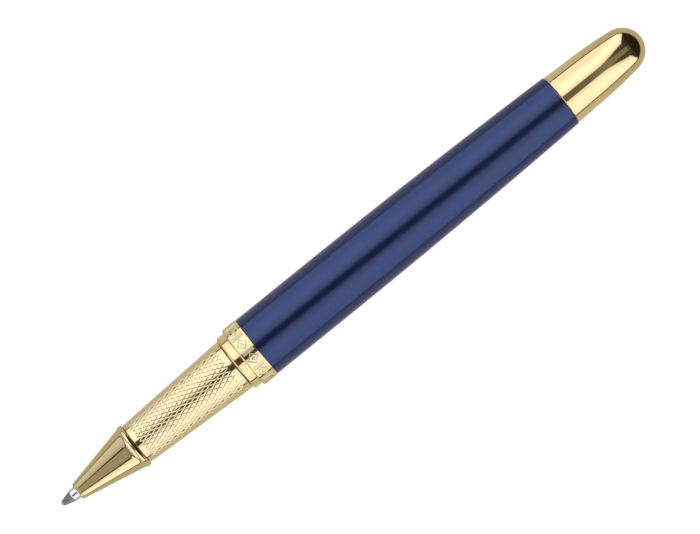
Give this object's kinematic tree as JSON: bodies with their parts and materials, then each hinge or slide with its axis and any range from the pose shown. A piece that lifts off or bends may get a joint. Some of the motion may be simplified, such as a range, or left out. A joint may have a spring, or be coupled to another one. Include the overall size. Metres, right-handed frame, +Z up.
{
  "type": "rollerball pen",
  "caption": "Uncapped rollerball pen with a screw-on section, knurled grip sleeve, stepped collar, lacquered barrel, domed end and a sprung refill with a rolling ball.",
  "frame": {"origin": "under the middle of the pen's length, on the table that its widest band touches; the pen's axis is 6.05 mm above it", "axes": "+X runs along the pen from the writing ball to the domed end, +Z up, +Y across"},
  "size_m": [0.13, 0.012, 0.0121],
  "materials": {
    "polished_gold": "mirror-polished pale gold plate",
    "guilloche_gold": "polished pale gold plate, cut all over with a fine diamond lattice",
    "engraved_gold": "polished pale gold plate with frosted engraved motifs",
    "navy_lacquer": "satin navy lacquer with a very fine metallic flake",
    "turned_brass": "fine turned, unplated",
    "polished_steel": "polished stainless steel",
    "refill_steel": "drawn tube, satin",
    "carbide": "ground and polished ball",
    "spring_wire": "drawn spring wire",
    "black_plastic": "moulded, satin",
    "grey_plastic": "moulded, satin",
    "black_rubber": "moulded nitrile ring",
    "inked_fibre": "bonded polyester fibre soaked in ink",
    "wick_fibre": "bonded fibre rod, inked"
  },
  "bodies": {
    "barrel": {"thread_bush": "turned_brass", "cap_stop_collar": "polished_gold", "engraved_band": "engraved_gold", "barrel_tube": "navy_lacquer", "barrel_liner": "black_plastic", "end_bush": "turned_brass", "end_dome": "polished_gold", "spring_cup": "grey_plastic", "refill_spring": "spring_wire"},
    "seal_ring": {"neck_o_ring": "black_rubber"},
    "section": {"section_core": "turned_brass", "grip_sleeve": "guilloche_gold", "nose_cone": "polished_gold"},
    "refill": {"refill_tube": "refill_steel", "ink_reservoir": "inked_fibre", "feed_wick": "wick_fibre", "refill_nose": "black_plastic", "refill_end_plug": "grey_plastic", "ball_point": "polished_steel"},
    "ball": {"writing_ball": "carbide"}
  },
  "joints": [
    {"name": "section_travel", "type": "slide", "parent": "barrel", "child": "seal_ring", "axis": [-1, 0, 0], "range_m": [0, 0.0045]},
    {"name": "section_turn", "type": "hinge", "parent": "seal_ring", "child": "section", "pos_m": [-0.026, 0, 0.00605], "axis": [-1, 0, 0], "range_deg": [0, 2160]},
    {"name": "refill_push", "type": "slide", "parent": "section", "child": "refill", "axis": [1, 0, 0], "range_m": [0, 0.0015], "stiffness_N_per_m": 300, "springref_m": -0.003, "deforming": ["refill_spring"]},
    {"name": "ball_roll", "type": "hinge", "parent": "refill", "child": "ball", "pos_m": [-0.06465, 0, 0.00605], "axis": [0, 1, 0], "continuous": true}
  ],
  "couplings": [
    {"joint": "section_travel", "follows": "section_turn", "m_per_rad": 0.00011937}
  ]
}
